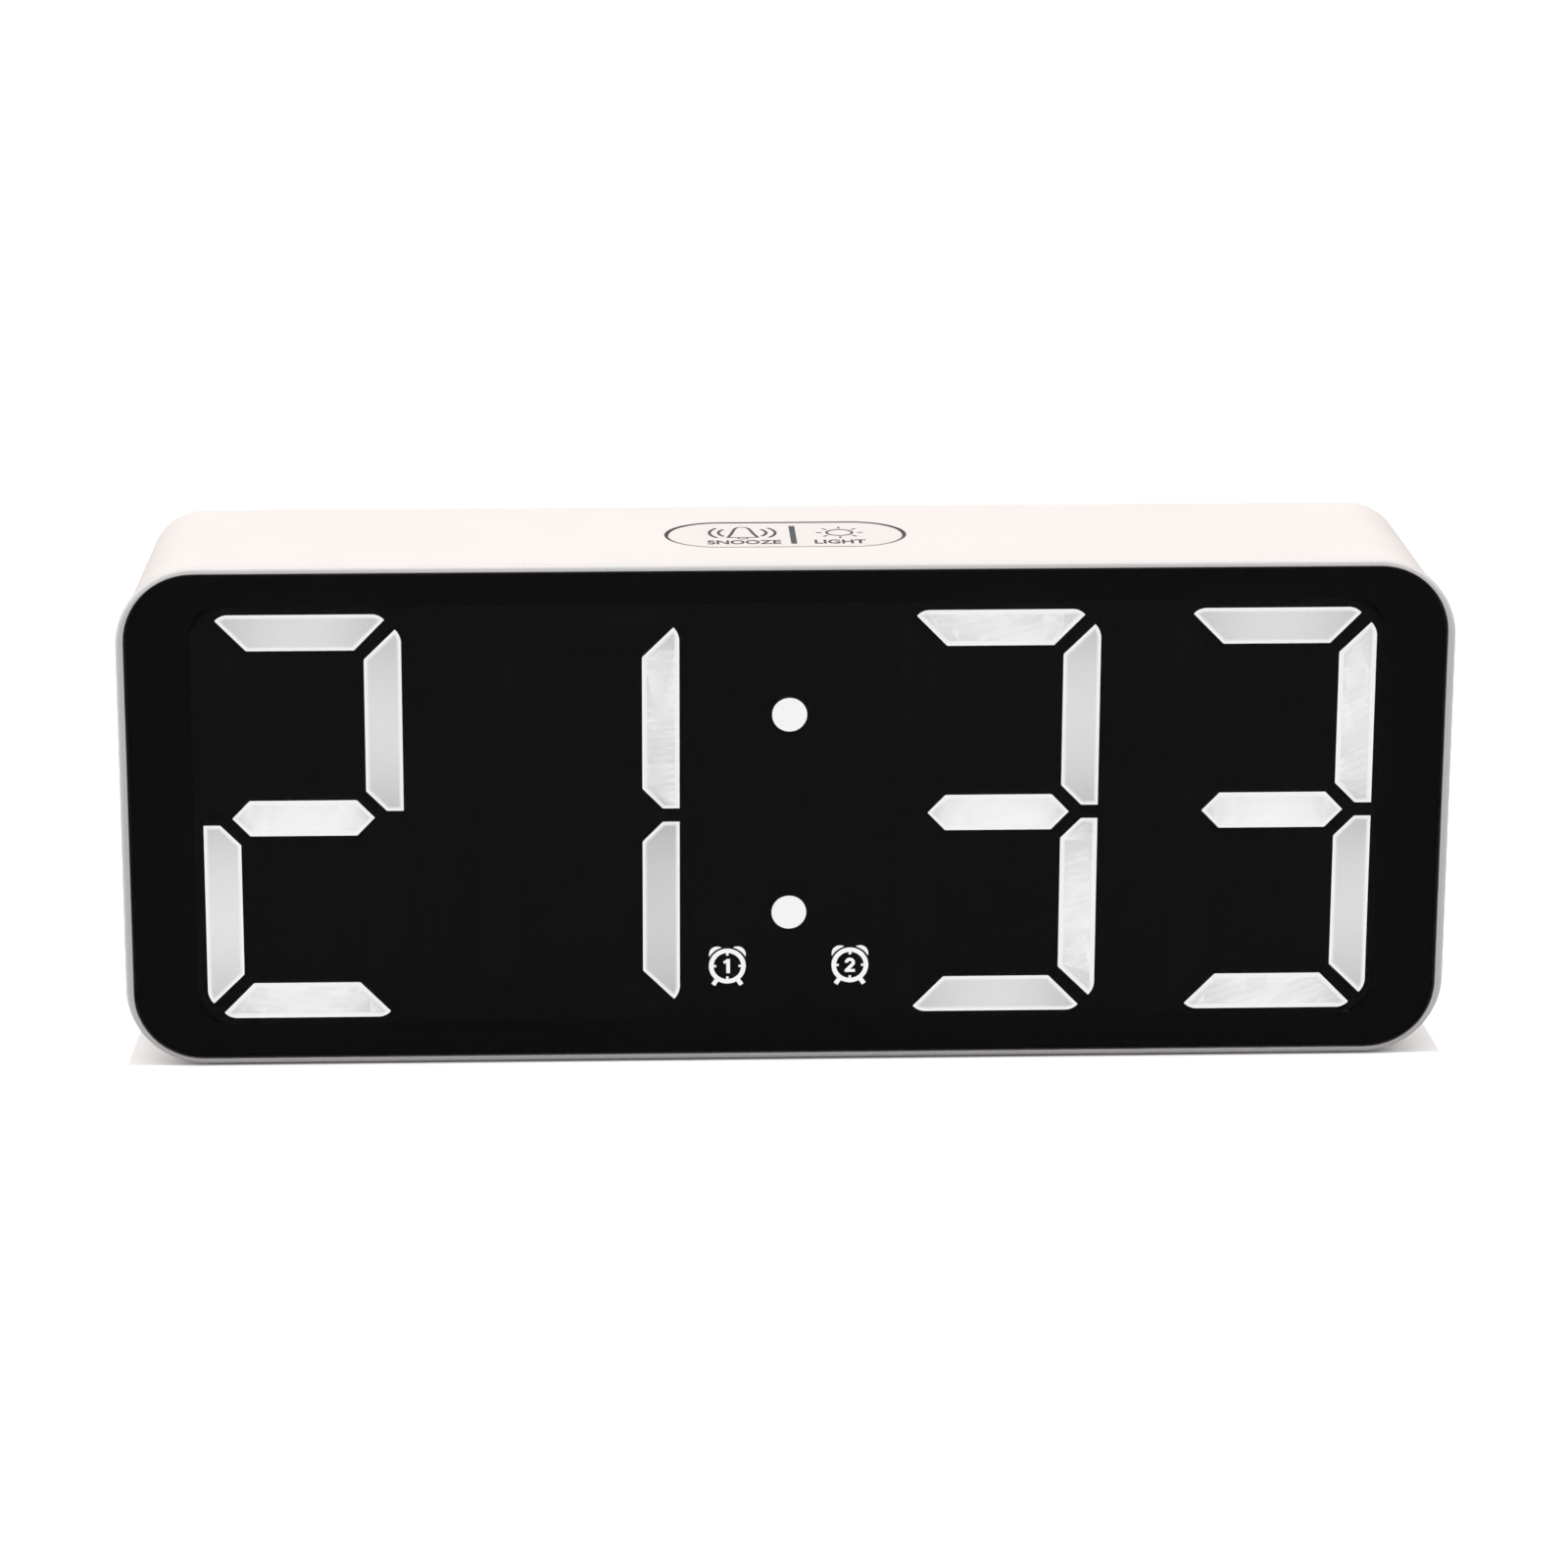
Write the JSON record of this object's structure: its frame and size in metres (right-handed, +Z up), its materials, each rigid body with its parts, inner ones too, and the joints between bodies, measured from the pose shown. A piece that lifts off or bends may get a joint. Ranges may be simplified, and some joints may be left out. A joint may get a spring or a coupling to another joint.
{
  "type": "alarm clock",
  "caption": "Bedside digital alarm clock: white tapered case, full-width black lens with tall white segment digits, snooze and light key on top, setting buttons and battery bay behind.",
  "frame": {"origin": "on the surface the clock stands on, under the middle of its box", "axes": "+X to the right seen from the front, +Y to the back, +Z up; the display faces -Y"},
  "size_m": [0.16, 0.0348, 0.0627],
  "materials": {
    "white_case": "satin white ABS, fine moulded texture",
    "white_rim": "satin white ABS, smoother than the case",
    "white_door": "satin white ABS",
    "white_inner": "plain moulded ABS",
    "white_key": "satin white ABS with printed signs",
    "button_plastic": "satin white ABS",
    "black_lens": "polished dark tinted acrylic",
    "black_housing": "matt black moulding",
    "light_guide": "milky diffusing plastic",
    "circuit_board": "green solder mask",
    "black_component": "moulded black",
    "switch_plunger": "moulded black",
    "led_package": "clear top on a white package",
    "screw_steel": "zinc-plated",
    "nickel_plate": "bright nickel plate",
    "foot_rubber": "soft grey rubber",
    "cell_jacket": "printed foil jacket",
    "wire_jacket": "smooth PVC",
    "ribbon_jacket": "flat grey ribbon"
  },
  "bodies": {
    "root": {"alarm_1_icon": "light_guide", "alarm_2_icon": "light_guide", "alarm_switch": "black_component", "battery_box": "white_inner", "battery_cell_1": "cell_jacket", "battery_cell_2": "cell_jacket", "battery_cell_3": "cell_jacket", "battery_leads": "wire_jacket", "buzzer": "black_component", "buzzer_leads": "wire_jacket", "case_screws": "screw_steel", "case_shell": "white_case", "clock_chip": "black_component", "clock_crystal": "nickel_plate", "colon_dots": "light_guide", "display_board": "circuit_board", "display_driver": "black_component", "display_lens": "black_lens", "display_ribbon": "ribbon_jacket", "display_screws": "screw_steel", "down_switch": "black_component", "foot_front_left": "foot_rubber", "foot_front_right": "foot_rubber", "foot_rear_left": "foot_rubber", "foot_rear_right": "foot_rubber", "front_bezel": "white_rim", "hours_tens_segments": "light_guide", "hours_units_segments": "light_guide", "icon_centres": "black_housing", "key_board": "circuit_board", "key_board_screws": "screw_steel", "key_leads": "wire_jacket", "main_board": "circuit_board", "main_board_screws": "screw_steel", "minutes_tens_segments": "light_guide", "minutes_units_segments": "light_guide", "mode_switch": "black_component", "negative_contacts": "nickel_plate", "positive_contacts": "nickel_plate", "power_socket": "nickel_plate", "segment_housing": "black_housing", "segment_leds": "led_package", "set_switch": "black_component", "snooze_switch": "black_component", "up_switch": "black_component"},
    "battery_door": {"battery_door": "white_door"},
    "snooze_key": {"snooze_light_key": "white_key", "snooze_plunger": "switch_plunger"},
    "mode_key": {"mode_button": "button_plastic", "mode_plunger": "switch_plunger"},
    "set_key": {"set_button": "button_plastic", "set_plunger": "switch_plunger"},
    "alarm_key": {"alarm_button": "button_plastic", "alarm_plunger": "switch_plunger"},
    "down_key": {"down_button": "button_plastic", "down_plunger": "switch_plunger"},
    "up_key": {"up_button": "button_plastic", "up_plunger": "switch_plunger"}
  },
  "joints": [
    {"name": "battery_door_hinge", "type": "hinge", "parent": "root", "child": "battery_door", "pos_m": [0.04, 0.0157, 0.01115], "axis": [-1, 0, 0], "range_deg": [0, 75]},
    {"name": "snooze_key_press", "type": "slide", "parent": "root", "child": "snooze_key", "axis": [0, 0, -1], "range_m": [0, 0.0006], "stiffness_N_per_m": 400, "springref_m": -0.001},
    {"name": "mode_key_press", "type": "slide", "parent": "root", "child": "mode_key", "axis": [0, -1, 0], "range_m": [0, 0.0005], "stiffness_N_per_m": 400, "springref_m": -0.001},
    {"name": "set_key_press", "type": "slide", "parent": "root", "child": "set_key", "axis": [0, -1, 0], "range_m": [0, 0.0005], "stiffness_N_per_m": 400, "springref_m": -0.001},
    {"name": "alarm_key_press", "type": "slide", "parent": "root", "child": "alarm_key", "axis": [0, -1, 0], "range_m": [0, 0.0005], "stiffness_N_per_m": 400, "springref_m": -0.001},
    {"name": "down_key_press", "type": "slide", "parent": "root", "child": "down_key", "axis": [0, -1, 0], "range_m": [0, 0.0005], "stiffness_N_per_m": 400, "springref_m": -0.001},
    {"name": "up_key_press", "type": "slide", "parent": "root", "child": "up_key", "axis": [0, -1, 0], "range_m": [0, 0.0005], "stiffness_N_per_m": 400, "springref_m": -0.001}
  ]
}
